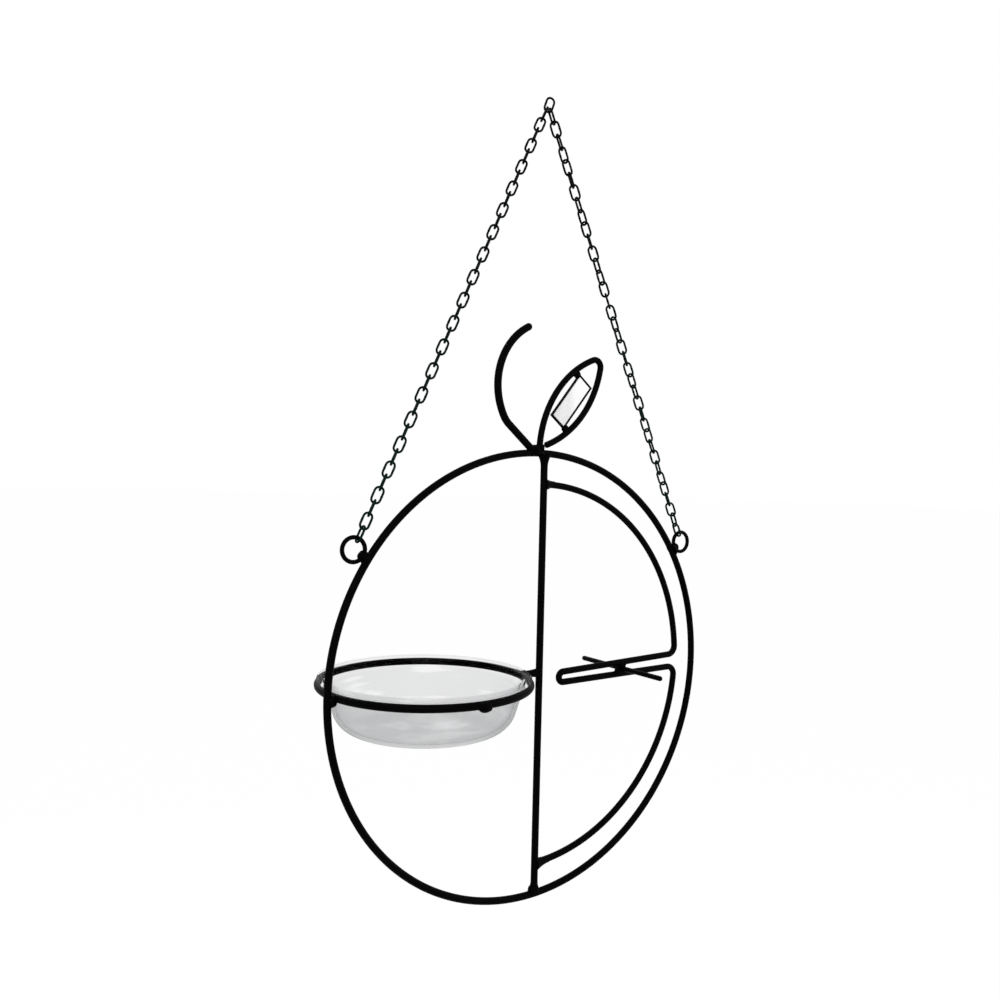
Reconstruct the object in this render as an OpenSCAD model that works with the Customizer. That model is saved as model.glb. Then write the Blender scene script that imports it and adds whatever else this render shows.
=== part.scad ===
// Hanging bird feeder: an apple outline in welded wire with a bowl, a fruit holder and a chain.
// Millimetres. The origin is inside the upper bend of the chain's top link, where the hook holds it.
// +Z is up, the wire outline stands in the XZ plane, and -Y is the front.

/* [Apple outline] */
// Radius of the round outline, at the middle of its wire
hoop_r = 110; // [90:1:140]
// Wire of the round outline
hoop_wire = 3.5; // [2.6:0.1:4]
// Wire of the upright bar
bar_wire = 3.6; // [2.6:0.1:4]

/* [Fruit holder] */
// Radius of the half-round fruit wire
fruit_r = 94.6; // [80:0.1:98]
// Clear gap between the fruit wire and the outline at the right
fruit_gap = 9.8; // [6:0.1:20]
// Wire of the fruit holder
fruit_wire_d = 3.3; // [2.2:0.1:3.4]
// Distance between the arms of the hairpin at its round end, middle to middle
arm_spacing = 5.3; // [5.2:0.1:8]
// Distance between the arms at their roots
arm_spread = 6.8; // [6:0.1:10]
// Height of the hairpin's roots above the middle of the outline
arm_z = -1.3; // [-15:0.1:15]
// How far the hairpin drops from its roots to its round end
arm_drop = 1.5; // [0:0.1:4]
// Clear gap between the bar and the round end of the hairpin
hairpin_gap = 9.1; // [6:0.1:25]
// Radius of the bends at the root of the hairpin
root_bend_r = 4.6; // [3:0.1:8]
// Wire of the fruit spike
spike_wire = 2.6; // [1.8:0.1:2.8]
// Length of the fruit spike, end to end
spike_length = 62; // [40:1:90]
// Distance from the round end of the hairpin to the spike
spike_from_tip = 43; // [20:0.5:60]
// Length of the weld that fills the hairpin at the spike
spike_weld_l = 8; // [5:0.5:12]

/* [Bowl and its ring] */
// Radius of the bowl ring, at the middle of its wire
ring_r = 49.3; // [40:0.1:52]
// Wire of the bowl ring
ring_wire = 3.6; // [3:0.1:4]
// Height of the bowl ring above the middle of the outline
ring_z = 0.9; // [-10:0.1:10]
// How far the middle of the ring lies behind the outline
ring_back = 8; // [0:0.5:12]
// Clear length of the stub between the ring and the bar
stub_l = 8.2; // [4:0.05:20]
// Wire of the stub
stub_wire = 3.3; // [2.2:0.1:3.5]
// Turn of the ring's own butt weld from its right-hand side
butt_turn = -89; // [-150:1:-30]
// Depth of the bowl, from rim to base
bowl_depth = 25; // [20:0.5:34]
// Thickness of the bowl's wall
bowl_wall = 1.6; // [1.2:0.1:2.4]
// How much the bowl's wall narrows for each millimetre of depth
wall_taper = 0.28; // [0.26:0.01:0.4]
// Rounding between wall and base
base_round = 12; // [5:0.5:14]
// Thickness of the rim that rests on the ring
rim_t = 1.5; // [1:0.1:2.5]
// How far the rim reaches past the middle of the ring's wire
rim_over = 0.7; // [0.3:0.1:1]
// Play between the bowl's wall and the ring
bowl_play = 0.7; // [0.4:0.1:1]
// Gap under the rim where it sits on the ring
seat_gap = 0.25; // [0.2:0.05:0.4]

/* [Stem and leaf] */
// Wire of the stem
stem_wire = 3.7; // [2.8:0.1:4]
// Radius of the stem's bow
stem_bow_r = 32.5; // [24:0.5:40]
// Offset of the bow's centre from the middle of the outline
stem_bow_x = 6.5; // [0:0.5:12]
// Place of the stem's foot on the outline
stem_foot_x = -3; // [-6:0.5:-2]
// Turn of the stem's tip about the bow's centre
stem_tip_turn = 118; // [100:0.5:150]
// Turn at which the bow ends and the straight foot begins
stem_foot_turn = 214.5; // [205:0.5:225]
// Wire of the leaf
leaf_wire = 3.2; // [2.2:0.1:3.4]
// Length of the leaf between its two points
leaf_l = 61.6; // [50:0.1:75]
// Width of the leaf at the middle of its wire
leaf_w = 19.9; // [17:0.1:26]
// Slope of the leaf above level
leaf_slope = 51.2; // [45:0.1:65]
// Radius of the bend at the leaf's tip
leaf_tip_r = 3.6; // [3:0.1:6]
// Place of the leaf's lower point on the outline
leaf_foot_x = -0.3; // [-3:0.1:2]
// Height of the leaf's lower point above the outline's wire
leaf_lift = 1.1; // [0.8:0.1:2]
// Length left out at the leaf's free end
leaf_open = 4.4; // [4:0.1:10]
// Length of the tag in the leaf
tag_l = 28; // [20:0.5:30]
// Width of the tag
tag_w = 10.5; // [7:0.5:11]
// Thickness of the tag's panel
tag_t = 1; // [0.8:0.1:1.6]
// Width of the tag's thin border
tag_edge = 1; // [0.5:0.1:1.4]
// How far the border stands proud of the panel on each face
tag_proud = 0.2; // [0.1:0.05:0.4]

/* [Eye rings] */
// Angle of the eye rings from the top of the outline
eye_turn = 57; // [50:0.5:65]
// Radius of an eye ring, at the middle of its wire
eye_r = 5.4; // [4.5:0.1:7]
// Wire of an eye ring
eye_wire = 2; // [1.6:0.1:2.1]

/* [Chain] */
// Wire of the links
link_wire = 1.1; // [0.9:0.05:1.15]
// Width of a link, outside
link_w = 5.1; // [5:0.05:6]
// Length of a link, outside
link_l = 8.75; // [8.2:0.05:11]
// Play between a link and the next
link_play = 0.3; // [0.25:0.05:0.4]
// Links in each leg
leg_links = 37; // [29:2:45]
// Lean of the top link towards the left leg
top_lean = 20; // [0:1:24]
// Turn of the left leg's links about the leg
left_lean = -30; // [-30:1:0]
// Full turns of twist in the right leg
right_twist = 2; // [0:1:2]

/* [Hidden] */
$fn = 64;
// Steps of a large bend
bend_fn = 160;
// Stretches that each leg is grouped in
groups = 6;
// Links over which the left leg's lean comes on and goes off, and how many of them come before the first
lean_links = 3;
lean_start = 2;
// A joint ball is this much wider than its wire, and the stretches end this far short of its middle
joint_swell = 0.08;
joint_trim = 0.12;
// Gap that a weld bead fills between two wires that pass each other
weld_gap = 0.15;
// A weld bead is this much wider than its wire: on the frame, at the stem and at an eye ring
bead_grow = 2.4;
stem_bead_grow = 1.8;
eye_bead_grow = 3;
// The butt weld's bulge is wider than the ring's wire by this share
butt_grow = 1.35;
// The ring's welds stay this far below its top, so that the bowl clears them
seat_clear = 0.1;
// The spike's weld is this much thinner than the hairpin's wire
spike_weld_thin = 0.4;
// A tag bead sits this far in from the tag's end and sinks this far into what it joins
tag_bead_in = 1;
tag_bead_bite = 1.1;
// A cutter runs this far past what it cuts
past = 1;
// Steps of the bowl's rounded corner, in degrees, and its least radius
corner_step = 10;
corner_min = 0.5;

// Colours of the finishes
coat_black = [0.03, 0.03, 0.032];
chain_green = [0.05, 0.11, 0.1];
clear_grey = [0.85, 0.86, 0.87, 0.5];
tag_white = [0.9, 0.9, 0.91];

// Chain: both legs hang in the lower bend of the top link, and lengths along a leg count from there
link_c = link_l - link_wire;
link_bend = (link_w - link_wire) / 2;
pitch = link_l - 2 * link_wire - link_play;
leg_start = (link_wire + link_play) / 2;
leg_to_eye = leg_links * pitch + (link_wire - eye_wire) / 2;
eye_dist = hoop_r + hoop_wire / 2 + eye_r + eye_wire / 2 + weld_gap;
eye_x = eye_dist * sin(eye_turn);
eye_z = eye_dist * cos(eye_turn);
leg_lean = asin((eye_x - leg_start) / (leg_to_eye + eye_r));
// Where the legs begin and where the middle of the outline hangs
legs_at = -(link_c - 2 * link_bend) * [sin(top_lean), cos(top_lean)];
outline_at = legs_at - [0, eye_z + (leg_to_eye + eye_r) * cos(leg_lean)];

// Bowl ring: it is welded to the outline at its left, and the bar stands at the end of its stub
ring_weld_dist = ring_r + ring_wire / 2 + weld_gap + hoop_wire / 2;
ring_x = sqrt(pow(ring_weld_dist, 2) - pow(ring_back, 2)) - hoop_r;
ring_weld_turn = 180 + asin(ring_back / ring_weld_dist);
ring_bead_drop = bead_grow / 2 + seat_clear;
butt_shift = ring_wire * (butt_grow - 1) / 2 + seat_clear;
stub_x = ring_x + sqrt(pow(ring_r, 2) - pow(ring_back, 2));
stub_end = ring_x + sqrt(pow(ring_r + ring_wire / 2, 2) - pow(ring_back, 2)) + stub_l;
bar_x = stub_end + bar_wire / 2;
bar_half = sqrt(pow(hoop_r, 2) - pow(bar_x, 2));
seat_z = ring_z + ring_wire / 2 + seat_gap;
wall_r = ring_r - ring_wire / 2 - bowl_play;
wall_angle = atan(wall_taper);
rim_r = ring_r + rim_over;
base_z = seat_z + rim_t - bowl_depth;

// Fruit wire: the middle of its round and where it meets the bar
fruit_x = hoop_r - hoop_wire / 2 - fruit_gap - fruit_wire_d / 2 - fruit_r;
fruit_end_turn = acos((bar_x - fruit_x) / fruit_r);
fruit_end_z = fruit_r * sin(fruit_end_turn);

// Hairpin: its round end and the place of the spike
tip_outer_x = bar_x + bar_wire / 2 + hairpin_gap;
tip_x = tip_outer_x + (arm_spacing + fruit_wire_d) / 2;
tip_z = arm_z - arm_drop;
spike_x = tip_outer_x + spike_from_tip;
spike_z = tip_z + arm_drop * (spike_x - tip_x) / (root_x(1) - tip_x);

// Leaf: two equal arcs about its long axis
leaf_r = (pow(leaf_l / 2, 2) + pow(leaf_w / 2, 2)) / leaf_w;
leaf_h = leaf_r - leaf_w / 2;
leaf_base = [leaf_foot_x, hoop_r + hoop_wire / 2 + leaf_lift];
leaf_mid = leaf_base + leaf_l / 2 * [cos(leaf_slope), sin(leaf_slope)];
leaf_side = [sin(leaf_slope), -cos(leaf_slope)];
leaf_half = asin(leaf_l / 2 / leaf_r);
leaf_tip_u = sqrt(pow(leaf_r - leaf_tip_r, 2) - pow(leaf_h, 2));
leaf_tip_half = atan2(leaf_tip_u, leaf_h);
leaf_open_turn = leaf_open / leaf_r * 180 / PI;
tag_corner_u = tag_l / 2 - tag_bead_in;
tag_corner_v = (tag_w / 2 + sqrt(pow(leaf_r, 2) - pow(tag_corner_u, 2)) - leaf_h - leaf_wire / 2) / 2;
tag_bead_r = tag_corner_v - tag_w / 2 + tag_bead_bite;

// Stem: the bow rests on the outline's top and leaves for its foot at an angle
stem_bow = [stem_bow_x, hoop_r + stem_bow_r];
stem_knee = stem_bow + stem_bow_r * [cos(stem_foot_turn), sin(stem_foot_turn)];
stem_tip = stem_bow + stem_bow_r * [cos(stem_tip_turn), sin(stem_tip_turn)];
stem_foot = [stem_foot_x, sqrt(pow(hoop_r, 2) - pow(stem_foot_x, 2))];

// Places in the XZ plane are [x, z] above the middle of the outline
module at(p) translate([p[0], 0, p[1]]) children();

// The frame's pieces hang below the top link
module hung() at(outline_at) children();

// A bent stretch of wire about c, from angle a to angle b, seen from the front
module bend(c, r, a, b, d, trim = joint_trim) {
    cut = trim / r * 180 / PI;
    at(c) rotate([90, 0, 0]) rotate([0, 0, a + cut])
        rotate_extrude(angle = b - a - 2 * cut, $fn = bend_fn) translate([r, 0]) circle(d = d);
}

// A closed ring of wire in the XZ plane
module loop(c, r, d)
    at(c) rotate([90, 0, 0]) rotate_extrude($fn = bend_fn) translate([r, 0]) circle(d = d);

// A straight stretch of wire from p to q
module rod(p, q, d)
    at(p) rotate([0, atan2(q[0] - p[0], q[1] - p[1]), 0])
        translate([0, 0, joint_trim]) cylinder(d = d, h = norm(q - p) - 2 * joint_trim);

// A bead on a wire
module bead(p, d) at(p) sphere(d = d);

// The ball that joins two stretches of wire
module joint(p, d) bead(p, d + joint_swell);

// Wires before they are cut where they meet
module hoop_shape() loop([0, 0], hoop_r, hoop_wire);

module bar_shape() rod([bar_x, -bar_half], [bar_x, bar_half], bar_wire);

module in_ring(z) translate([ring_x, ring_back, z]) children();

module ring_shape()
    in_ring(ring_z) rotate_extrude($fn = bend_fn) translate([ring_r, 0]) circle(d = ring_wire);

module eye_shape(side) loop([side * eye_x, eye_z], eye_r, eye_wire);

// Height of an arm at its tip and its root, and the middle and the turn of the root's bend; up is 1 or -1
function arm_tip(up) = tip_z + up * arm_spacing / 2;
function arm_height(up) = arm_z + up * arm_spread / 2;
function root_z(up) = arm_height(up) + up * root_bend_r;
function root_x(up) = fruit_x + sqrt(pow(fruit_r - root_bend_r, 2) - pow(root_z(up), 2));
function root_turn(up) = atan2(root_z(up), root_x(up) - fruit_x);

// The two halves of the fruit holder's round, from the bar to the roots of the hairpin
module fruit_arcs() for (up = [-1, 1])
    bend([fruit_x, 0], fruit_r, min(root_turn(up), up * fruit_end_turn),
        max(root_turn(up), up * fruit_end_turn), fruit_wire_d);

module fruit_arms() for (up = [-1, 1])
    rod([tip_x, arm_tip(up)], [root_x(up), arm_height(up)], fruit_wire_d);

module fruit_bends() {
    for (up = [-1, 1]) {
        bend([root_x(up), root_z(up)], root_bend_r, min(root_turn(up), -up * 90),
            max(root_turn(up), -up * 90), fruit_wire_d);
        joint([fruit_x, 0] + fruit_r * [cos(root_turn(up)), sin(root_turn(up))], fruit_wire_d);
        joint([root_x(up), arm_height(up)], fruit_wire_d);
        joint([tip_x, arm_tip(up)], fruit_wire_d);
    }
    bend([tip_x, tip_z], arm_spacing / 2, 90, 270, fruit_wire_d);
}

module spike_shape() {
    translate([spike_x, 0, spike_z]) {
        straight = spike_length - spike_wire;
        rotate([90, 0, 0]) cylinder(d = spike_wire, h = straight, center = true);
        for (end = [-1, 1]) translate([0, end * straight / 2, 0]) sphere(d = spike_wire);
    }
}

module stem_shape() {
    bend(stem_bow, stem_bow_r, stem_tip_turn, stem_foot_turn, stem_wire);
    rod(stem_knee, stem_foot, stem_wire);
    joint(stem_knee, stem_wire);
    joint(stem_tip, stem_wire);
}

module leaf_shape() {
    turn = leaf_slope + 90;
    tip = leaf_mid + leaf_tip_u * [cos(leaf_slope), sin(leaf_slope)];
    bend(leaf_mid + leaf_h * leaf_side, leaf_r, turn - leaf_tip_half, turn + leaf_half, leaf_wire);
    bend(leaf_mid - leaf_h * leaf_side, leaf_r, turn - 180 - leaf_half + leaf_open_turn,
        turn - 180 + leaf_tip_half, leaf_wire);
    bend(tip, leaf_tip_r, leaf_slope - 90 + leaf_tip_half, leaf_slope + 90 - leaf_tip_half, leaf_wire);
    for (side = [-1, 1]) {
        angle = leaf_slope + side * (90 - leaf_tip_half);
        joint(tip + leaf_tip_r * [cos(angle), sin(angle)], leaf_wire);
    }
}

// The tag's own axes: X along the leaf, Z across it
module in_leaf() at(leaf_mid) rotate([0, -leaf_slope, 0]) children();

module tag_border_shape() {
    depth = tag_t + 2 * tag_proud;
    in_leaf() difference() {
        cube([tag_l, depth, tag_w], center = true);
        cube([tag_l - 2 * tag_edge, depth + past, tag_w - 2 * tag_edge], center = true);
    }
}

// A chain link about its middle, long along Z and wide along X
module link() {
    straight = link_c - 2 * link_bend;
    for (end = [0, 180]) rotate([0, end, 0]) {
        bend([0, straight / 2], link_bend, 0, 180, link_wire, trim = 0);
        translate([link_bend, 0, -straight / 2]) cylinder(d = link_wire, h = straight);
    }
}

// Turn of link i about its leg: each crosses the next, with a lean on the left and a twist on the right
function left_turn(i) =
    left_lean * min(1, (i + lean_start) / lean_links, (leg_links - 1 - i) / lean_links);
function right_turn(i) =
    left_turn(0) - (360 * right_twist + left_turn(0)) * i / (leg_links - 1);
function link_turn(side, i) = 90 * (i + 1) + (side < 0 ? left_turn(i) : right_turn(i));
function first_link(group) = floor((group - 1) * leg_links / groups);

// The links of one stretch of a leg; side is -1 for the left leg and 1 for the right one
module chain_stretch(side, group) color(chain_green)
    for (i = [first_link(group) : first_link(group + 1) - 1])
        at(legs_at + [side * leg_start, 0]) rotate([0, -side * leg_lean, 0])
            translate([0, 0, -i * pitch - link_c / 2]) rotate([0, 0, link_turn(side, i)]) link();

// Frame pieces
module outer_hoop() color(coat_black) hung() hoop_shape();

module centre_bar() color(coat_black) hung() difference() {
    bar_shape();
    hoop_shape();
}

module fruit_wire() color(coat_black) hung() difference() {
    union() {
        fruit_arcs();
        fruit_arms();
        fruit_bends();
    }
    bar_shape();
}

module fruit_spike() color(coat_black) hung() spike_shape();

// The bulge at the front is where the ring's own ends are joined
module bowl_ring() color(coat_black) hung() {
    ring_shape();
    in_ring(ring_z) rotate([0, 0, butt_turn])
        translate([ring_r + butt_shift, 0, -butt_shift]) sphere(d = ring_wire * butt_grow);
}

module ring_stub() color(coat_black) hung() difference() {
    rod([stub_x, ring_z], [bar_x, ring_z], stub_wire);
    ring_shape();
    bar_shape();
}

module stem() color(coat_black) hung() difference() {
    stem_shape();
    hoop_shape();
}

module leaf() color(coat_black) hung() difference() {
    leaf_shape();
    stem_shape();
    hoop_shape();
}

module tag_border() color(coat_black) hung() tag_border_shape();

module tag_panel() color(tag_white) hung() in_leaf()
    cube([tag_l - 2 * tag_edge, tag_t, tag_w - 2 * tag_edge], center = true);

module eye_ring(side) color(coat_black) hung() eye_shape(side);

module eye_ring_left() eye_ring(-1);

module eye_ring_right() eye_ring(1);

// Outline of the bowl's wall and rounded corner at a distance t inside its outer face
function wall_x(z, t) = wall_r - t / cos(wall_angle) - (seat_z - z) * wall_taper;
function corner(t) = let (
        r = max(base_round - t, corner_min),
        z = base_z + t + r,
        x = wall_x(z, t) - r / cos(wall_angle)
    ) [for (a = [-90 : corner_step : -wall_angle]) [x + r * cos(a), z + r * sin(a)]];

// The clear bowl: a rim that rests on the ring, a narrowing wall and a rounded base
module bowl() color(clear_grey) hung() in_ring(0) rotate_extrude($fn = bend_fn)
    polygon(concat(
        [[0, base_z]],
        corner(0),
        [[wall_x(seat_z, 0), seat_z], [rim_r, seat_z], [rim_r, seat_z + rim_t],
            [wall_x(seat_z + rim_t, bowl_wall), seat_z + rim_t]],
        [for (p = [len(corner(bowl_wall)) - 1 : -1 : 0]) corner(bowl_wall)[p]],
        [[0, base_z + bowl_wall]]
    ));

// Weld beads, cut to the wires that they join
module frame_welds() color(coat_black) hung() difference() {
    for (up = [-1, 1]) {
        bead([bar_x, up * (bar_half - hoop_wire / 2)], bar_wire + bead_grow);
        bead([bar_x + bar_wire / 2, up * fruit_end_z], fruit_wire_d + bead_grow);
    }
    hoop_shape();
    bar_shape();
    fruit_arcs();
}

module spike_weld() color(coat_black) hung() difference() {
    translate([spike_x, 0, spike_z])
        cube([spike_weld_l, fruit_wire_d - spike_weld_thin, arm_spacing], center = true);
    fruit_arms();
    spike_shape();
}

module ring_weld() color(coat_black) hung() difference() {
    in_ring(ring_z - ring_bead_drop)
        translate((ring_r + ring_wire / 2) * [cos(ring_weld_turn), sin(ring_weld_turn), 0])
            sphere(d = ring_wire + bead_grow);
    hoop_shape();
    ring_shape();
}

module stem_weld() color(coat_black) hung() difference() {
    union() {
        bead(stem_foot + [0, stem_wire / 2], stem_wire + stem_bead_grow);
        bead(leaf_base, leaf_wire + stem_bead_grow);
    }
    hoop_shape();
    stem_shape();
    leaf_shape();
}

module tag_welds() color(coat_black) hung() difference() {
    in_leaf() for (end = [-1, 1])
        translate([end * tag_corner_u, 0, end * tag_corner_v]) sphere(r = tag_bead_r);
    leaf_shape();
    in_leaf() cube([tag_l, tag_t + 2 * tag_proud, tag_w], center = true);
}

module eye_welds() color(coat_black) hung() difference() {
    for (side = [-1, 1])
        bead((eye_dist - eye_r) * [side * sin(eye_turn), cos(eye_turn)], eye_wire + eye_bead_grow);
    hoop_shape();
    for (side = [-1, 1]) eye_shape(side);
}

// The top link leans on its hook, turned half as far as the left leg's links
module top_link() color(chain_green)
    at(legs_at / 2) rotate([0, top_lean, 0]) rotate([0, 0, left_lean / 2]) link();

outer_hoop();
centre_bar();
fruit_wire();
fruit_spike();
bowl_ring();
ring_stub();
bowl();
stem();
leaf();
tag_border();
tag_panel();
eye_ring_left();
eye_ring_right();
frame_welds();
spike_weld();
ring_weld();
stem_weld();
tag_welds();
eye_welds();
top_link();
for (group = [1 : groups]) {
    chain_stretch(-1, group);
    chain_stretch(1, group);
}
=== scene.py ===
import math

import bmesh
import bpy
from mathutils import Matrix, Vector


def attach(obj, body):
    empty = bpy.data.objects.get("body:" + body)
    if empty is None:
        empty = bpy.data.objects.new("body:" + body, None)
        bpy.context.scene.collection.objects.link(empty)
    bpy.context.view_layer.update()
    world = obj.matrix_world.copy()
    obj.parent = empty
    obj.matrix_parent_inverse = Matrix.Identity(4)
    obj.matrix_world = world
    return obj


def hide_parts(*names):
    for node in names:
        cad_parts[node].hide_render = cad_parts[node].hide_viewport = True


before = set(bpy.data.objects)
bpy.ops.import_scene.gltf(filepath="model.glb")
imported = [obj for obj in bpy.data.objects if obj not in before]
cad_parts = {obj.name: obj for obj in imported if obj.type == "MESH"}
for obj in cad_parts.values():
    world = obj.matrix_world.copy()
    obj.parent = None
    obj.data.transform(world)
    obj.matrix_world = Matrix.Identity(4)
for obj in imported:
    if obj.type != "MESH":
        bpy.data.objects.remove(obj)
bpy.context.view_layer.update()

# Sizes are in millimetres, as on the drawing, and places in the upright plane are (x, z) pairs
MM = 0.001
HOOP_R = 110
HOOP_WIRE = 3.5
BAR_WIRE = 3.6
WELD_GAP = 0.15
# How far a cut end of wire is rounded, as a share of a full dome
CUT_END = 0.3
# How far the foot of a weld's fillet stands off the middle of the outline's wire
FLARE_OFF = 0.6
# How far a fillet on the bar stands off the bar's middle
BAR_FLARE_X = 0.4

RING_R = 49.3
RING_WIRE = 3.6
RING_Z = 0.9
RING_BACK = 8
RING_TO_HOOP = RING_R + RING_WIRE / 2 + WELD_GAP + HOOP_WIRE / 2
RING_X = math.sqrt(RING_TO_HOOP**2 - RING_BACK**2) - HOOP_R
RING_WELD_TURN = math.pi + math.asin(RING_BACK / RING_TO_HOOP)
STUB_WIRE = 3.3
STUB_L = 8.2
STUB_X = RING_X + math.sqrt(RING_R**2 - RING_BACK**2)
STUB_END = RING_X + math.sqrt((RING_R + RING_WIRE / 2) ** 2 - RING_BACK**2) + STUB_L
BUTT_TURN = math.radians(-89)
BUTT_BULGE = 0.73
RING_BEAD_DROP = 1.3
BAR_X = STUB_END + BAR_WIRE / 2
BAR_HALF = math.sqrt(HOOP_R**2 - BAR_X**2)

SEAT_GAP = 0.25
SEAT_Z = RING_Z + RING_WIRE / 2 + SEAT_GAP
RIM_OVER = 0.7
RIM_R = RING_R + RIM_OVER
RIM_T = 1.5
RIM_FILLET = 0.9
LIP_ROUND = 0.8
BOWL_PLAY = 0.7
WALL_R = RING_R - RING_WIRE / 2 - BOWL_PLAY
WALL_T = 1.6
WALL_TAPER = 0.28
BOWL_DEPTH = 25
BASE_Z = SEAT_Z + RIM_T - BOWL_DEPTH
BASE_ROUND = 12

FRUIT_R = 94.6
FRUIT_WIRE = 3.3
FRUIT_GAP = 9.8
FRUIT_X = HOOP_R - HOOP_WIRE / 2 - FRUIT_GAP - FRUIT_WIRE / 2 - FRUIT_R
ARM_Z = -1.3
ARM_DROP = 1.5
ARM_SPACING = 5.3
ARM_SPREAD = 6.8
ROOT_BEND_R = 4.6
HAIRPIN_GAP = 9.1
TIP_OUTER_X = BAR_X + BAR_WIRE / 2 + HAIRPIN_GAP
TIP_X = TIP_OUTER_X + (ARM_SPACING + FRUIT_WIRE) / 2
TIP_Z = ARM_Z - ARM_DROP
SPIKE_FROM_TIP = 43
SPIKE_X = TIP_OUTER_X + SPIKE_FROM_TIP
ARM_L = FRUIT_X + FRUIT_R - ROOT_BEND_R - TIP_X
SPIKE_Z = TIP_Z + ARM_DROP * (SPIKE_X - TIP_X) / ARM_L
SPIKE_WIRE = 2.6
SPIKE_LENGTH = 62
SPIKE_BEAD_L = 8
SPIKE_BEAD_T = 2.4

STEM_WIRE = 3.7
STEM_BOW = (6.5, 142.5)
STEM_BOW_R = 32.5
STEM_TIP_TURN = math.radians(118)
STEM_FOOT_TURN = math.radians(214.5)
STEM_KNEE_R = 13
STEM_KNEE_TURN = math.radians(22)
STEM_KNEE_LEAD = math.radians(6)
STEM_FOOT = (-3, 109.96)

LEAF_WIRE = 3.2
LEAF_L = 61.6
LEAF_W = 19.9
LEAF_SLOPE = math.radians(51.2)
LEAF_TIP_R = 3.6
LEAF_FOOT_X = -0.3
LEAF_FOOT_GAP = 1.1
LEAF_BASE = (LEAF_FOOT_X, HOOP_R + HOOP_WIRE / 2 + LEAF_FOOT_GAP)
LEAF_OPEN = 4.4
TAG_L = 28
TAG_W = 10.5
TAG_T = 1
TAG_EDGE = 1
TAG_PROUD = 0.2
TAG_BEAD_IN = 1
TAG_X = LEAF_BASE[0] + LEAF_L / 2 * math.cos(LEAF_SLOPE)

EYE_TURN = math.radians(57)
EYE_R = 5.4
EYE_WIRE = 2
EYE_DIST = HOOP_R + HOOP_WIRE / 2 + EYE_R + EYE_WIRE / 2 + WELD_GAP

LINK_WIRE = 1.1
LINK_W = 5.1
LINK_L = 8.75
LINK_PLAY = 0.3
LEG_LINKS = 37
GROUPS = 6
TOP_LEAN = math.radians(20)
LEFT_LEAN = -30
RIGHT_TWIST = 2
LEAN_START = 2
LEAN_LINKS = 3
LINK_SWELL = 1.16
LINK_SWELL_AT = 0.3
LINK_C = LINK_L - LINK_WIRE
LINK_BEND = (LINK_W - LINK_WIRE) / 2
PITCH = LINK_L - 2 * LINK_WIRE - LINK_PLAY
LEG_START = (LINK_WIRE + LINK_PLAY) / 2
LEG_TO_EYE = LEG_LINKS * PITCH + (LINK_WIRE - EYE_WIRE) / 2
LEG_LEAN = math.asin((EYE_DIST * math.sin(EYE_TURN) - LEG_START) / (LEG_TO_EYE + EYE_R))
LEGS_AT = Vector((-math.sin(TOP_LEAN), 0, -math.cos(TOP_LEAN))) * (LINK_C - 2 * LINK_BEND)
LEG_DROP = EYE_DIST * math.cos(EYE_TURN) + (LEG_TO_EYE + EYE_R) * math.cos(LEG_LEAN)
OUTLINE_AT = LEGS_AT - Vector((0, 0, LEG_DROP))


def upright(place):
    """A place in the upright plane as a point."""
    return Vector((place[0], 0, place[1]))


def around(centre, radius, turn):
    """The place at a turn round a centre, counted from the right, anticlockwise from the front."""
    return (centre[0] + radius * math.cos(turn), centre[1] + radius * math.sin(turn))


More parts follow.
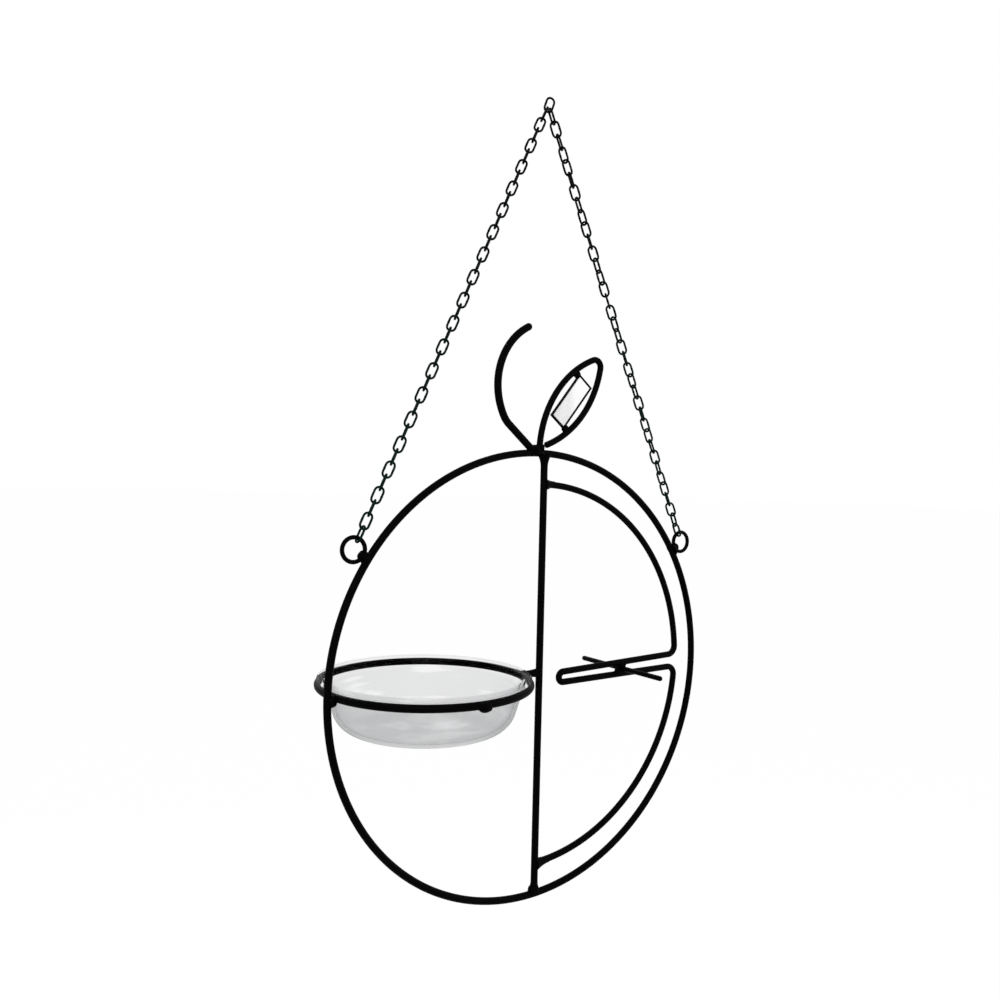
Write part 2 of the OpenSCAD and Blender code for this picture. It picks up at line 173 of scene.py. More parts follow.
class Wire:
    """A round wire in the upright plane, drawn stretch by stretch from one end."""

    def __init__(self, bm, start, turn, thickness, sides=24):
        self.bm = bm
        self.at = upright(start)
        self.radius = thickness / 2
        self.heading = Vector((math.cos(turn), 0, math.sin(turn)))
        facing = Vector((0, 0, 1)).rotation_difference(self.heading).to_matrix().to_4x4()
        ring = bmesh.ops.create_circle(
            bm, segments=sides, radius=self.radius, matrix=Matrix.Translation(self.at) @ facing
        )
        self.ring = list({edge for vert in ring["verts"] for edge in vert.link_edges})
        self.first = self.ring, self.at.copy(), -self.heading

    def verts(self):
        return list({vert for edge in self.ring for vert in edge.verts})

    def extrude(self, step, grow=1.0):
        """Steps the open end on, and swells or narrows it."""
        made = bmesh.ops.extrude_edge_only(self.bm, edges=self.ring)["geom"]
        self.ring = [part for part in made if isinstance(part, bmesh.types.BMEdge)]
        self.at = self.at + step
        bmesh.ops.translate(self.bm, vec=step, verts=self.verts())
        if grow != 1.0:
            space = Matrix.Translation(-self.at)
            bmesh.ops.scale(self.bm, vec=(grow,) * 3, space=space, verts=self.verts())

    def run(self, place):
        """A straight stretch to a place."""
        self.heading = (upright(place) - self.at).normalized()
        self.extrude(upright(place) - self.at)

    def bend(self, centre, turn, steps):
        """A bend about a centre; a positive turn goes anticlockwise from the front."""
        made = bmesh.ops.spin(
            self.bm,
            geom=self.ring + self.verts(),
            cent=upright(centre),
            axis=(0, -1, 0),
            angle=turn,
            steps=steps,
        )["geom_last"]
        self.ring = [part for part in made if isinstance(part, bmesh.types.BMEdge)]
        swing = Matrix.Rotation(turn, 4, Vector((0, -1, 0)))
        self.at = upright(centre) + swing @ (self.at - upright(centre))
        self.heading = swing @ self.heading

    def close(self, dome=1.0, steps=5):
        """A closed end; a full dome for a rounded end, a little of one for a cut end."""
        last = 0
        for step in range(1, steps + 1):
            angle = math.radians(80) * step / steps
            rise = self.radius * dome * (math.sin(angle) - math.sin(last))
            if dome >= 1:
                grow = math.cos(angle) / math.cos(last)
            else:
                grow = (1 - dome * (1 - math.cos(angle))) / (1 - dome * (1 - math.cos(last)))
            self.extrude(self.heading * rise, grow)
            last = angle
        bmesh.ops.edgeloop_fill(self.bm, edges=self.ring)

    def close_start(self, dome=1.0):
        """The same closed end where the wire began."""
        end = self.ring, self.at, self.heading
        self.ring, self.at, self.heading = self.first
        self.close(dome)
        self.ring, self.at, self.heading = end


def round_ring(bm, centre, radius, thickness, axis, sides=24, steps=192):
    """A closed ring of wire about an axis."""
    out = Vector((1, 0, 0))
    facing = Vector((0, 0, 1)).rotation_difference(axis.cross(out)).to_matrix().to_4x4()
    place = Matrix.Translation(centre + out * radius) @ facing
    ring = bmesh.ops.create_circle(bm, segments=sides, radius=thickness / 2, matrix=place)["verts"]
    edges = list({edge for vert in ring for edge in vert.link_edges})
    bmesh.ops.spin(
        bm, geom=edges + ring, cent=centre, axis=axis, angle=math.tau, steps=steps, use_merge=True
    )


def weld(bm, place, size, ripple=0.06):
    """A weld bead: a rounded lump with the slow ripples of set metal."""
    made = bmesh.ops.create_icosphere(bm, subdivisions=3, radius=1)["verts"]
    centre = Vector(place)
    for vert in made:
        wave = math.sin(5 * vert.co.x + 3 * vert.co.z) * math.cos(4 * vert.co.y + 2 * vert.co.x)
        vert.co = centre + Vector(size) * vert.co * (1 + ripple * wave)


def flare(bm, foot, towards, wire_r, foot_r, height, steps=7):
    """The fillet of a weld: a trumpet that narrows from what it stands on to its wire."""
    heading = Vector(towards).normalized()
    facing = Vector((0, 0, 1)).rotation_difference(heading).to_matrix().to_4x4()
    place = Matrix.Translation(Vector(foot)) @ facing
    made = bmesh.ops.create_circle(bm, cap_ends=True, segments=24, radius=foot_r, matrix=place)
    ring = list({edge for vert in made["verts"] for edge in vert.link_edges})
    radius = foot_r
    end_r = wire_r * 1.01
    at = Vector(foot)
    for step in range(1, steps + 1):
        part = step / steps
        wanted = end_r + (foot_r - wire_r) * (1 - part) ** 2
        grown = bmesh.ops.extrude_edge_only(bm, edges=ring)["geom"]
        ring = [item for item in grown if isinstance(item, bmesh.types.BMEdge)]
        verts = list({vert for edge in ring for vert in edge.verts})
        at = at + heading * height / steps
        bmesh.ops.translate(bm, vec=heading * height / steps, verts=verts)
        bmesh.ops.scale(
            bm, vec=(wanted / radius,) * 3, space=Matrix.Translation(-at), verts=verts
        )
        radius = wanted
    bmesh.ops.edgeloop_fill(bm, edges=ring)


# Shader maths as plain sums
class Value:
    """A number or colour that changes over a surface."""

    def __init__(self, finish, socket):
        self.finish = finish
        self.socket = socket

    def math(self, operation, first, second):
        return self.finish.node("ShaderNodeMath", {"operation": operation}, {0: first, 1: second})

    def __add__(self, other):
        return self.math("ADD", self, other)

    def __radd__(self, other):
        return self.math("ADD", other, self)

    def __sub__(self, other):
        return self.math("SUBTRACT", self, other)

    def __rsub__(self, other):
        return self.math("SUBTRACT", other, self)

    def __mul__(self, other):
        return self.math("MULTIPLY", self, other)

    def __rmul__(self, other):
        return self.math("MULTIPLY", other, self)


class Finish:
    """A material, or the world, built node by node."""

    def __init__(self, owner):
        owner.use_nodes = True
        self.tree = owner.node_tree
        self.tree.nodes.clear()

    def node(self, kind, settings=None, inputs=None, output=0):
        """Any node, by its type, its settings and the values or links of its sockets."""
        made = self.tree.nodes.new(kind)
        for name, value in (settings or {}).items():
            if name == "stops":
                ramp = made.color_ramp.elements
                while len(ramp) < len(value):
                    ramp.new(0.5)
                for element, (place, colour) in zip(ramp, value):
                    element.position = place
                    element.color = colour
            else:
                setattr(made, name, value)
        for name, value in (inputs or {}).items():
            if isinstance(value, Value):
                self.tree.links.new(value.socket, made.inputs[name])
            else:
                made.inputs[name].default_value = value
        return Value(self, made.outputs[output]) if made.outputs else None

    def noise(self, scale, detail=2.0, rough=0.5, flat=1.0):
        """Soft noise from 0 to 1 on the object's own coordinates, per metre, squeezed in height by flat."""
        place = self.node("ShaderNodeTexCoord", output="Object")
        if flat != 1.0:
            place = self.node("ShaderNodeMapping", {}, {"Vector": place, "Scale": (1, 1, flat)})
        inputs = {"Vector": place, "Scale": scale, "Detail": detail, "Roughness": rough}
        return self.node("ShaderNodeTexNoise", {}, inputs)

    def place_along(self, axis):
        """Where a point of the object lies along X, Y or Z, in metres."""
        place = self.node("ShaderNodeTexCoord", output="Object")
        return self.node("ShaderNodeSeparateXYZ", {}, {"Vector": place}, axis)

    def ramp(self, value, stops):
        return self.node("ShaderNodeValToRGB", {"stops": stops}, {"Fac": value})

    def blend(self, share, first, second):
        return self.node(
            "ShaderNodeMix", {"data_type": "RGBA"}, {0: share, 6: first, 7: second}, output=2
        )

    def bump(self, height, strength, distance):
        inputs = {"Height": height, "Strength": strength, "Distance": distance}
        return self.node("ShaderNodeBump", {}, inputs)

    def surface(self, inside=None, **inputs):
        named = {name.replace("_", " "): value for name, value in inputs.items()}
        ends = {"Surface": self.node("ShaderNodeBsdfPrincipled", {}, named)}
        if inside:
            ends["Volume"] = inside
        self.node("ShaderNodeOutputMaterial", {}, ends)


def new_material(name):
    material = bpy.data.materials.new(name)
    return material, Finish(material)


def black_coat():
    """Black powder coat on the welded wire: satin, with a fine orange-peel skin."""
    material, finish = new_material("black_coat")
    cloud = finish.noise(38, 3)
    peel = finish.noise(1100, 2)
    patch = finish.noise(240, 3)
    finish.surface(
        Base_Color=finish.blend(cloud, (0.0004, 0.0004, 0.0005, 1), (0.0014, 0.0014, 0.0015, 1)),
        Roughness=0.36 + patch * 0.16,
        Specular_IOR_Level=0.015,
        Normal=finish.bump(peel, 0.25, 0.00006),
    )
    return material


def green_coat():
    """Dark green dip coat on the chain, nearly black in its upper half."""
    material, finish = new_material("green_coat")
    fade_from = -0.2
    share = (finish.place_along("Z") - fade_from) * (-1 / fade_from)
    low = (0.0008, 0.014, 0.01, 1)
    middle = (0.0005, 0.004, 0.003, 1)
    top = (0.0004, 0.0008, 0.0007, 1)
    green = finish.ramp(share, [(0.0, low), (0.55, middle), (1.0, top)])
    cloud = finish.noise(420, 2)
    runs = finish.noise(900, 2)
    finish.surface(
        Base_Color=finish.blend(cloud * 0.5, green, (0.0006, 0.0015, 0.0012, 1)),
        Roughness=0.34 + cloud * 0.2,
        Specular_IOR_Level=0.03,
        Normal=finish.bump(runs, 0.2, 0.00005),
    )
    return material


def clear_plastic():
    """Clear, slightly grey moulded plastic: the wall greys by its depth, the rim is clearer, and a painted
    shade darkens it where it is seen edge-on.
    """
    material, finish = new_material("clear_plastic")
    haze = finish.noise(60, 2)
    swirl = finish.noise(24, 1)
    streak = finish.ramp(finish.noise(34, 2, flat=5), [(0.53, (0, 0, 0, 1)), (0.62, (1, 1, 1, 1))])
    share = (finish.place_along("Z") - (OUTLINE_AT.z + BASE_Z) * MM) * (1 / (BOWL_DEPTH * MM))
    grey = finish.ramp(share, [(0.75, (0.8, 0.803, 0.806, 1)), (0.92, (0.95, 0.952, 0.954, 1))])
    cloudy = finish.blend(haze * 0.4, grey, (0.88, 0.882, 0.884, 1))
    streaked = finish.blend(streak * 0.75, cloudy, (0.98, 0.982, 0.984, 1))
    # Painted shade: the tint turns dark grey where the wall is seen edge-on, darkening the dish's
    # silhouettes.
    slant = finish.node("ShaderNodeLayerWeight", {}, {"Blend": 0.5}, "Facing")
    steep = slant * slant
    edge = steep * steep * steep * steep
    finish.surface(
        inside=finish.node(
            "ShaderNodeVolumeAbsorption", {}, {"Color": (0.8, 0.803, 0.806, 1), "Density": 130}
        ),
        Base_Color=finish.blend(edge, streaked, (0.2, 0.202, 0.204, 1)),
        Roughness=0.01 + haze * 0.02,
        IOR=1.01,
        Transmission_Weight=1.0,
        Coat_Weight=0.03,
        Coat_Roughness=0.2,
        Normal=finish.bump(swirl, 0.1, 0.0004),
    )
    return material


def white_enamel():
    """Glossy white face of the bare tag, with a painted reflection: greyer on its left, whiter on its
    right.
    """
    material, finish = new_material("white_enamel")
    cloud = finish.noise(90, 2)
    wave = finish.noise(150, 2)
    # A painted reflection across the face: a soft step from grey on the left to white on the right, by
    # place along X.
    share = (finish.place_along("X") - (OUTLINE_AT.x + TAG_X) * MM) * (1 / (TAG_W * MM)) + 0.5
    painted_reflection = finish.ramp(share, [(0.35, (0.75, 0.75, 0.76, 1)), (0.75, (0.93, 0.93, 0.935, 1))])
    finish.surface(
        Base_Color=finish.blend(cloud * 0.4, painted_reflection, (0.86, 0.86, 0.865, 1)),
        Roughness=0.08 + wave * 0.08,
        Coat_Weight=0.6,
        Normal=finish.bump(wave, 0.1, 0.0002),
    )
    return material


BLACK = black_coat()
GREEN = green_coat()
CLEAR = clear_plastic()
WHITE = white_enamel()


def piece(name, bm, finish, body, slot, *nodes, at=None):
    """Finishes one piece: its place, its size in metres, its material and what it stands for."""
    bmesh.ops.remove_doubles(bm, verts=bm.verts[:], dist=0.0005)
    bmesh.ops.recalc_face_normals(bm, faces=bm.faces[:])
    bmesh.ops.translate(bm, vec=OUTLINE_AT if at is None else at, verts=bm.verts[:])
    bmesh.ops.scale(bm, vec=(MM, MM, MM), verts=bm.verts[:])
    for face in bm.faces:
        face.smooth = True
    mesh = bpy.data.meshes.new(name)
    bm.to_mesh(mesh)
    bm.free()
    mesh.set_sharp_from_angle(angle=math.radians(48))
    mesh.materials.append(finish)
    made = bpy.data.objects.new(name, mesh)
    bpy.context.collection.objects.link(made)
    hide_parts(*nodes)
    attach(made, body)
    return made


def welded(name, bm, *nodes):
    """A black piece of the welded frame."""
    return piece(name, bm, BLACK, "frame", "black_wire", *nodes)


def build_hoop_and_bar():
    """The round outline and the upright bar across it."""
    bm = bmesh.new()
    round_ring(bm, Vector((0, 0, 0)), HOOP_R, HOOP_WIRE, Vector((0, -1, 0)))
    welded("hoop", bm, "outer_hoop")

    bm = bmesh.new()
    bar = Wire(bm, (BAR_X, -BAR_HALF), math.pi / 2, BAR_WIRE)
    bar.run((BAR_X, BAR_HALF))
    bar.close(CUT_END)
    bar.close_start(CUT_END)
    welded("bar", bm, "centre_bar")


def root_of_arm(up):
    """Middle of the bend at an arm's root and its turn about the middle of the round."""
    z = ARM_Z + up * (ARM_SPREAD / 2 + ROOT_BEND_R)
    x = math.sqrt((FRUIT_R - ROOT_BEND_R) ** 2 - z**2)
    return (FRUIT_X + x, z), math.atan2(z, x)


def build_fruit_holder():
    """The half-round wire with its hairpin, the cross spike and the weld between the arms."""
    quarter = math.pi / 2
    upper, upper_turn = root_of_arm(1)
    lower, lower_turn = root_of_arm(-1)
    ends = math.acos((BAR_X - FRUIT_X) / FRUIT_R)
    bm = bmesh.new()
    wire = Wire(bm, around((FRUIT_X, 0), FRUIT_R, ends), ends - quarter, FRUIT_WIRE)
    wire.bend((FRUIT_X, 0), upper_turn - ends, 72)
    wire.bend(upper, -quarter - upper_turn, 18)
    wire.run((TIP_X, TIP_Z + ARM_SPACING / 2))
    wire.bend((TIP_X, TIP_Z), math.pi, 24)
    wire.run((lower[0], ARM_Z - ARM_SPREAD / 2))
    wire.bend(lower, lower_turn - quarter, 18)
    wire.bend((FRUIT_X, 0), -ends - lower_turn, 72)
    wire.close(CUT_END)
    wire.close_start(CUT_END)
    welded("fruit_holder", bm, "fruit_wire")

    bm = bmesh.new()
    reach = (SPIKE_LENGTH - SPIKE_WIRE) / 2
    spike = Wire(bm, (0, -reach), math.pi / 2, SPIKE_WIRE)
    spike.run((0, reach))
    spike.close()
    spike.close_start()
    bmesh.ops.rotate(bm, matrix=Matrix.Rotation(math.pi / 2, 3, "X"), verts=bm.verts[:])
    bmesh.ops.translate(bm, vec=(SPIKE_X, 0, SPIKE_Z), verts=bm.verts[:])
    welded("spike", bm, "fruit_spike")

    bm = bmesh.new()
    block = bmesh.ops.create_cube(bm, size=1)["verts"]
    bmesh.ops.scale(bm, vec=(SPIKE_BEAD_L, SPIKE_BEAD_T, ARM_SPACING), verts=block)
    bmesh.ops.subdivide_edges(bm, edges=bm.edges[:], cuts=6, use_grid_fill=True)
    waist = 0.3
    dent = 0.12
    ripple = 0.06
    for vert in bm.verts:
        hollow = 1 - (2 * vert.co.z / ARM_SPACING) ** 2
        vert.co.x *= 1 - waist * hollow
        vert.co.y *= 1 - dent * hollow + ripple * math.sin(2.2 * vert.co.x)
    bmesh.ops.translate(bm, vec=(SPIKE_X, 0, SPIKE_Z), verts=bm.verts[:])
    welded("spike_bead", bm, "spike_weld")


def dish_profile():
    """The dish's section, from the middle of its base outside, over the rim, to the middle inside."""
    lean = math.atan(WALL_TAPER)
    corner_steps = 14

    def arc(centre, radius, first, step, count):
        return [around(centre, radius, math.radians(first + step * k)) for k in range(count)]

    def wall(z, inset):
        return WALL_R - inset / math.cos(lean) - (SEAT_Z - z) * WALL_TAPER

    def corner(inset):
        r = BASE_ROUND - inset
        z = BASE_Z + inset + r
        centre = (wall(z, inset) - r / math.cos(lean), z)
        return arc(centre, r, -90, (90 - math.degrees(lean)) / corner_steps, corner_steps + 1)

    half = RIM_T / 2
    lip_z = SEAT_Z + RIM_T
    under_rim = (wall(SEAT_Z, 0) + RIM_FILLET, SEAT_Z - RIM_FILLET)
    in_lip = (wall(lip_z, WALL_T) + LIP_ROUND, lip_z - LIP_ROUND)
    fillet = arc(under_rim, RIM_FILLET, 180, -15, 7)
    nose = arc((RIM_R - half, SEAT_Z + half), half, -90, 15, 13)
    lip = arc(in_lip, LIP_ROUND, 90, 15, 7)
    outside = [(0, BASE_Z)] + corner(0)
    inside = corner(WALL_T)[::-1] + [(0, BASE_Z + WALL_T)]
    return outside + fillet + nose + lip + inside


def build_dish():
    """The clear dish, spun from its section."""
    bm = bmesh.new()
    points = dish_profile()
    end = bmesh.ops.create_vert(bm, co=upright(points[0]))["vert"][0]
    for start, stop in zip(points, points[1:]):
        made = bmesh.ops.extrude_vert_indiv(bm, verts=[end])
        end = made["verts"][0]
        bmesh.ops.translate(bm, vec=upright(stop) - upright(start), verts=[end])
    bmesh.ops.spin(
        bm,
        geom=bm.verts[:] + bm.edges[:],
        cent=(0, 0, 0),
        axis=(0, 0, 1),
        angle=math.tau,
        steps=128,
        use_merge=True,
    )
    bmesh.ops.translate(bm, vec=(RING_X, RING_BACK, 0), verts=bm.verts[:])
    piece("dish", bm, CLEAR, "bowl", "clear_bowl", "bowl")


def build_dish_ring():
    """The level ring under the dish's rim, its stub to the bar and its weld on the outline."""
    bm = bmesh.new()
    middle = Vector((RING_X, RING_BACK, RING_Z))
    round_ring(bm, middle, RING_R, RING_WIRE, Vector((0, 0, 1)), steps=128)
    butt = around(middle, RING_R + BUTT_BULGE, BUTT_TURN)
    weld(bm, (*butt, RING_Z - BUTT_BULGE), size=(3.4, 2.43, 2.43))
    welded("dish_ring", bm, "bowl_ring")

    bm = bmesh.new()
    stub = Wire(bm, (STUB_X, RING_Z), 0, STUB_WIRE)
    stub.run((BAR_X, RING_Z))
    stub.close(CUT_END)
    stub.close_start(CUT_END)
    flare(bm, (BAR_X, 0, RING_Z), (-1, 0, 0), STUB_WIRE / 2, foot_r=2.5, height=8)
    flare(bm, (STUB_X, 0, RING_Z), (1, 0, 0), STUB_WIRE / 2, foot_r=1.75, height=4)
    welded("stub", bm, "ring_stub")

    bm = bmesh.new()
    nearest = around(middle, RING_R + RING_WIRE / 2, RING_WELD_TURN)
    weld(bm, (*nearest, RING_Z - RING_BEAD_DROP), size=(2.6, 3.2, 2.9))
    welded("ring_bead", bm, "ring_weld")


def build_stem_and_leaf():
    """The stem, the leaf and their weld; gives the leaf's middle and its arcs for the tag."""
    bm = bmesh.new()
    tip = around(STEM_BOW, STEM_BOW_R, STEM_TIP_TURN)
    stem = Wire(bm, tip, STEM_TIP_TURN + math.pi / 2, STEM_WIRE)
    stem.bend(STEM_BOW, STEM_FOOT_TURN - STEM_TIP_TURN - STEM_KNEE_LEAD, 40)
    knee = around(STEM_BOW, STEM_BOW_R - STEM_KNEE_R, STEM_FOOT_TURN - STEM_KNEE_LEAD)
    stem.bend(knee, STEM_KNEE_TURN, 8)
    stem.run(STEM_FOOT)
    stem.close(CUT_END)
    stem.close_start()
    welded("stem_wire", bm, "stem")

    leaf_r = ((LEAF_L / 2) ** 2 + (LEAF_W / 2) ** 2) / LEAF_W
    leaf_h = leaf_r - LEAF_W / 2
    along = Vector((math.cos(LEAF_SLOPE), math.sin(LEAF_SLOPE)))
    side = Vector((math.sin(LEAF_SLOPE), -math.cos(LEAF_SLOPE)))
    middle = Vector(LEAF_BASE) + along * LEAF_L / 2
    half = math.asin(LEAF_L / 2 / leaf_r)
    tip_u = math.sqrt((leaf_r - LEAF_TIP_R) ** 2 - leaf_h**2)
    tip_half = math.atan2(tip_u, leaf_h)
    turn = LEAF_SLOPE + math.pi / 2
    bm = bmesh.new()
    left = middle + side * leaf_h
    leaf = Wire(bm, around(left, leaf_r, turn + half), turn + half - math.pi / 2, LEAF_WIRE)
    leaf.bend(left, -half - tip_half, 40)
    leaf.bend(middle + along * tip_u, 2 * tip_half - math.pi, 20)
    leaf.bend(middle - side * leaf_h, LEAF_OPEN / leaf_r - half - tip_half, 36)
    leaf.close(CUT_END)
    leaf.close_start(CUT_END)
    welded("leaf_wire", bm, "leaf")

    bm = bmesh.new()
    foot = upright(STEM_FOOT)
    weld(bm, foot + Vector((0, 0, 1.9)), size=(3.1, 2.5, 2.2))
    weld(bm, upright(LEAF_BASE) + Vector((0.2, 0, 0)), size=(2.6, 2.2, 2.3))
    flare(bm, foot + Vector((1, 0, -0.4)), (0, 0, 1), wire_r=2.0, foot_r=4.2, height=3.6)
    welded("stem_bead", bm, "stem_weld")
    return middle, leaf_r, leaf_h


def build_tag(middle, leaf_r, leaf_h):
    """The plate inside the leaf: a black rim round a glossy face, held by two welds."""
    lay = Matrix.Translation(upright(middle)) @ Matrix.Rotation(-LEAF_SLOPE, 4, "Y")
    depth = TAG_T + 2 * TAG_PROUD

    bm = bmesh.new()
    bmesh.ops.create_grid(bm, x_segments=1, y_segments=1, size=0.5)
    bmesh.ops.scale(bm, vec=(TAG_L, TAG_W, 1), verts=bm.verts[:])
    rim = bmesh.ops.inset_region(bm, faces=bm.faces[:], thickness=TAG_EDGE, use_boundary=True)["faces"]
    bmesh.ops.delete(bm, geom=[face for face in bm.faces if face not in rim], context="FACES")
    walls = bmesh.ops.extrude_face_region(bm, geom=bm.faces[:])["geom"]
    raised = [part for part in walls if isinstance(part, bmesh.types.BMVert)]
    bmesh.ops.translate(bm, vec=(0, 0, depth), verts=raised)
    bmesh.ops.recalc_face_normals(bm, faces=bm.faces[:])
    bmesh.ops.bevel(
        bm, geom=bm.edges[:], offset=0.12, affect="EDGES", segments=2, profile=0.5, material=-1
    )
    bmesh.ops.translate(bm, vec=(0, 0, -depth / 2), verts=bm.verts[:])
    bmesh.ops.rotate(bm, matrix=Matrix.Rotation(math.pi / 2, 3, "X"), verts=bm.verts[:])
    bmesh.ops.transform(bm, matrix=lay, verts=bm.verts[:])
    welded("tag_rim", bm, "tag_border")

    bm = bmesh.new()
    bmesh.ops.create_cube(bm, size=1)
    bmesh.ops.scale(
        bm, vec=(TAG_L - 2 * TAG_EDGE, TAG_T, TAG_W - 2 * TAG_EDGE), verts=bm.verts[:]
    )
    bmesh.ops.bevel(
        bm, geom=bm.edges[:], offset=0.25, affect="EDGES", segments=3, profile=0.5, material=-1
    )
    bmesh.ops.transform(bm, matrix=lay, verts=bm.verts[:])
    piece("tag_face", bm, WHITE, "frame", "tag_panel", "tag_panel")

    bm = bmesh.new()
    u = TAG_L / 2 - TAG_BEAD_IN
    v = (TAG_W / 2 + math.sqrt(leaf_r**2 - u**2) - leaf_h - LEAF_WIRE / 2) / 2
    for end in (-1, 1):
        weld(bm, lay @ Vector((end * u, 0, end * v)), size=(2.0, 1.6, 2.0))
    welded("tag_beads", bm, "tag_welds")


def build_eyes():
    """The two small rings that the chain's ends go through, with their welds."""
    for side, name in ((-1, "left"), (1, "right")):
        bm = bmesh.new()
        centre = Vector((side * math.sin(EYE_TURN), 0, math.cos(EYE_TURN))) * EYE_DIST
        round_ring(bm, centre, EYE_R, EYE_WIRE, Vector((0, -1, 0)), sides=16, steps=48)
        welded("eye_" + name, bm, "eye_ring_" + name)

    bm = bmesh.new()
    for side in (-1, 1):
        out = Vector((side * math.sin(EYE_TURN), 0, math.cos(EYE_TURN)))
        weld(bm, out * (EYE_DIST - EYE_R), size=(2.5, 2.3, 2.5))
        flare(bm, out * (HOOP_R + FLARE_OFF), out, wire_r=2.0, foot_r=3.8, height=3.6)
    welded("eye_beads", bm, "eye_welds")


def build_frame_beads():
    """The welds at the bar's ends and where the half-round wire meets the bar."""
    bm = bmesh.new()
    half_bar = BAR_WIRE / 2
    half_fruit = FRUIT_WIRE / 2
    top = BAR_HALF - FLARE_OFF
    flare(bm, (BAR_X, 0, top), (0, 0, -1), half_bar, foot_r=3.5, height=6)
    flare(bm, (BAR_X, 0, -top), (0, 0, 1), half_bar, foot_r=3.4, height=5.5)
    weld(bm, (BAR_X, 0, BAR_HALF - 1.9), size=(2.5, 2.4, 1.9))
    weld(bm, (BAR_X - 0.7, 0, 2.2 - BAR_HALF), size=(2.5, 2.4, 2.3))

    beside = BAR_X + BAR_FLARE_X
    flare(bm, (beside, 0, FRUIT_R), (1, 0, 0), half_fruit, foot_r=3.2, height=6)
    flare(bm, (beside, 0, -FRUIT_R - 0.6), (8, 0, 0.86), half_fruit, foot_r=3.2, height=8)
    weld(bm, (BAR_X + 1.5, 0, FRUIT_R - 0.4), size=(2.2, 2.3, 2.4))
    weld(bm, (BAR_X + 1.6, 0, -FRUIT_R - 0.4), size=(2.4, 2.3, 2.5))
    welded("frame_beads", bm, "frame_welds")


def draw_link():
    """One chain link about its middle, long along Z, with the small swell of its own butt weld."""
    bm = bmesh.new()
    straight = LINK_C / 2 - LINK_BEND
    wire = Wire(bm, (LINK_BEND, -straight), math.pi / 2, LINK_WIRE, sides=10)
    wire.run((LINK_BEND, straight))
    wire.bend((0, straight), math.pi, 8)
    swell_z = straight * LINK_SWELL_AT
    wire.run((-LINK_BEND, swell_z))
    wire.extrude(Vector((0, 0, -swell_z)), LINK_SWELL)
    wire.extrude(Vector((0, 0, -swell_z)), 1 / LINK_SWELL)
    wire.run((-LINK_BEND, -straight))
    wire.bend((0, -straight), math.pi, 8)
    bmesh.ops.remove_doubles(bm, verts=bm.verts[:], dist=0.001)
    bmesh.ops.recalc_face_normals(bm, faces=bm.faces[:])
    mesh = bpy.data.meshes.new("link")
    bm.to_mesh(mesh)
    bm.free()
    return mesh


def link_turn(side, i):
    """Turn of a link about its leg, in degrees: a lean on the left, a twist on the right."""
    ends = min(1, (i + LEAN_START) / LEAN_LINKS, (LEG_LINKS - 1 - i) / LEAN_LINKS)
    first = LEFT_LEAN * LEAN_START / LEAN_LINKS
    share = i / (LEG_LINKS - 1)
    twist = first - (360 * RIGHT_TWIST + first) * share
    return 90 * (i + 1) + (LEFT_LEAN * ends if side < 0 else twist)


def add_link(bm, link, place):
    """Adds a copy of the link to a stretch of chain."""
    old = len(bm.verts)
    bm.from_mesh(link)
    bm.verts.ensure_lookup_table()
    bmesh.ops.transform(bm, matrix=place, verts=bm.verts[old:])


def build_chain():
    """The top link, and both legs with a stretch of links on each body."""
    link = draw_link()
    bm = bmesh.new()
    lean = Matrix.Rotation(TOP_LEAN, 4, "Y") @ Matrix.Rotation(math.radians(LEFT_LEAN / 2), 4, "Z")
    add_link(bm, link, Matrix.Translation(LEGS_AT / 2) @ lean)
    piece("hook_link", bm, GREEN, "hanger", "dark_chain", "top_link", at=(0, 0, 0))

    for side, name in ((-1, "left"), (1, "right")):
        leg = Matrix.Translation(LEGS_AT + Vector((side * LEG_START, 0, 0)))
        leg = leg @ Matrix.Rotation(-side * LEG_LEAN, 4, "Y")
        for group in range(GROUPS):
            bm = bmesh.new()
            for i in range(group * LEG_LINKS // GROUPS, (group + 1) * LEG_LINKS // GROUPS):
                drop = Matrix.Translation((0, 0, -i * PITCH - LINK_C / 2))
                turn = Matrix.Rotation(math.radians(link_turn(side, i)), 4, "Z")
                add_link(bm, link, leg @ drop @ turn)
            body = f"chain_{group + 1}"
            node = f"chain_{name}_{group + 1}"
            links = f"links_{name}_{group + 1}"
            piece(links, bm, GREEN, body, "dark_chain", node, at=(0, 0, 0))
    bpy.data.meshes.remove(link)


build_hoop_and_bar()
build_fruit_holder()
build_dish()
build_dish_ring()
build_tag(*build_stem_and_leaf())
build_eyes()
build_frame_beads()
build_chain()


# The stage and its lamps are in metres
def pale(finish):
    """1 where the background is looked at: by the camera, or in a gloss or through clear plastic."""
    seen = finish.node("ShaderNodeLightPath", output="Is Camera Ray")
    gloss = finish.node("ShaderNodeLightPath", output="Is Glossy Ray")
    through = finish.node("ShaderNodeLightPath", output="Is Transmission Ray")
    return seen.math("MAXIMUM", seen.math("MAXIMUM", seen, gloss), through)


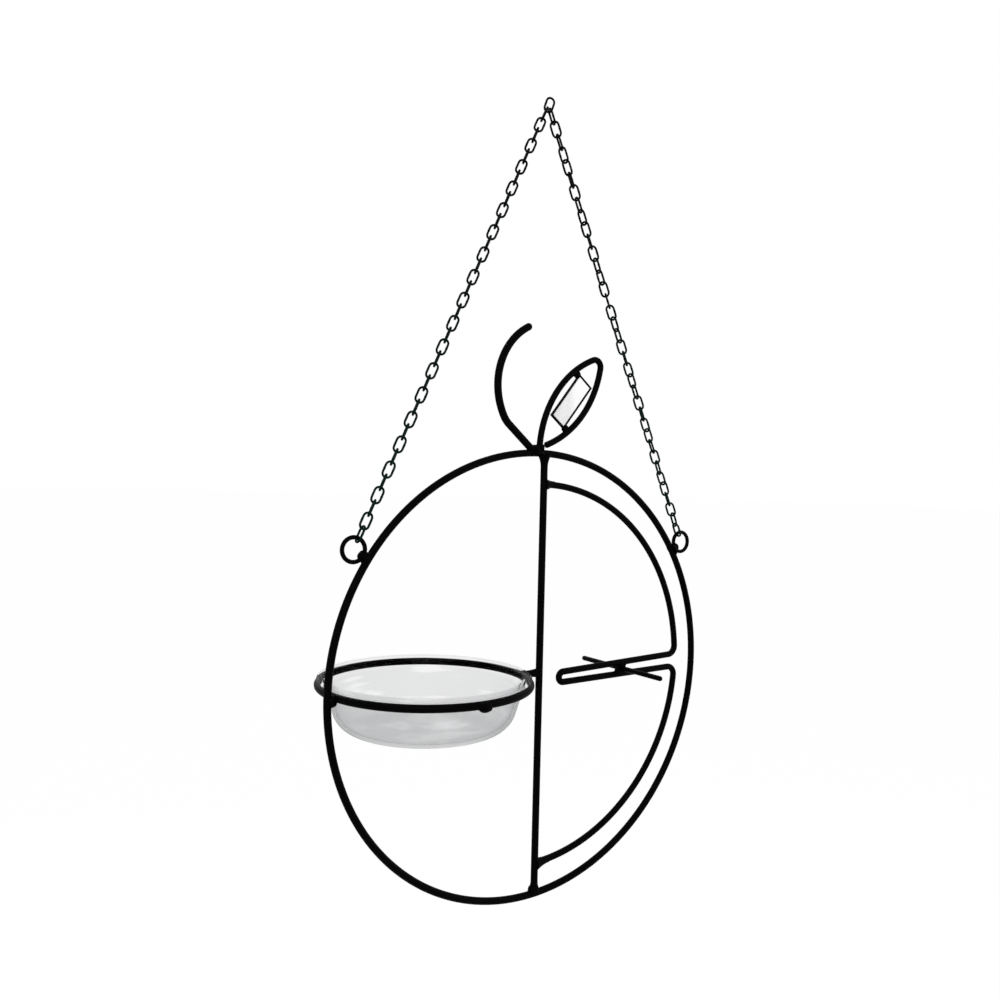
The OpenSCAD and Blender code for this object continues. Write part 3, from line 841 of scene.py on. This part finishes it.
def build_stage():
    """White all round to look at, softer as light, over a pale matt floor."""
    floor_half = 60
    floor_z = -1.1
    world = bpy.data.worlds.new("studio")
    bpy.context.scene.world = world
    finish = Finish(world)
    strength = pale(finish) * 0.45 + 0.55
    light = finish.node("ShaderNodeBackground", {}, {"Color": (1, 1, 1, 1), "Strength": strength})
    finish.node("ShaderNodeOutputWorld", {}, {"Surface": light})

    material, finish = new_material("pale_floor")
    matt = finish.node("ShaderNodeBsdfDiffuse", {}, {"Color": (0.85, 0.85, 0.85, 1)})
    glow = finish.node("ShaderNodeEmission", {}, {"Color": (1, 1, 1, 1), "Strength": 1.05})
    mixed = finish.node("ShaderNodeMixShader", {}, {0: pale(finish) * 0.9, 1: matt, 2: glow})
    finish.node("ShaderNodeOutputMaterial", {}, {"Surface": mixed})
    bm = bmesh.new()
    bmesh.ops.create_grid(bm, x_segments=1, y_segments=1, size=floor_half)
    bmesh.ops.translate(bm, vec=(0, 0, floor_z), verts=bm.verts[:])
    mesh = bpy.data.meshes.new("floor")
    bm.to_mesh(mesh)
    bm.free()
    mesh.materials.append(material)
    floor = bpy.data.objects.new("floor", mesh)
    bpy.context.collection.objects.link(floor)


def add_lamp(name, place, power):
    """A wide soft lamp that looks at the middle of the object."""
    target = (0, 0, -0.25)
    data = bpy.data.lights.new(name, "AREA")
    data.size = 1.2
    data.energy = power
    lamp = bpy.data.objects.new(name, data)
    lamp.location = place
    lamp.rotation_euler = (Vector(target) - Vector(place)).to_track_quat("-Z", "Y").to_euler()
    bpy.context.collection.objects.link(lamp)


def build_camera():
    """The photograph's viewing angle, as a place from the outline's middle and three turns."""
    stand = Vector((-263.937, -352.751, 94.433))
    yaw = 0.598836478
    pitch = -0.0182880364
    roll = 0.0235995663
    ahead = Vector(
        (math.sin(yaw) * math.cos(pitch), math.cos(yaw) * math.cos(pitch), math.sin(pitch))
    )
    level = Vector((math.cos(yaw), -math.sin(yaw), 0))
    up = level.cross(ahead)
    right = level * math.cos(roll) + up * math.sin(roll)
    top = up * math.cos(roll) - level * math.sin(roll)
    data = bpy.data.cameras.new("camera")
    data.sensor_width = 36
    data.lens = 32.04
    data.clip_start = 0.01
    camera = bpy.data.objects.new("camera", data)
    facing = Matrix((right, top, -ahead)).transposed().to_4x4()
    camera.matrix_world = Matrix.Translation((OUTLINE_AT + stand) * MM) @ facing
    bpy.context.collection.objects.link(camera)
    bpy.context.scene.camera = camera


build_stage()
add_lamp("key", (-0.75, -1.0, 0.45), 9)
add_lamp("fill", (1.0, -0.9, 0.1), 5)
add_lamp("back", (0.3, 1.2, 0.5), 6)
build_camera()
bpy.context.scene.view_settings.view_transform = "Standard"
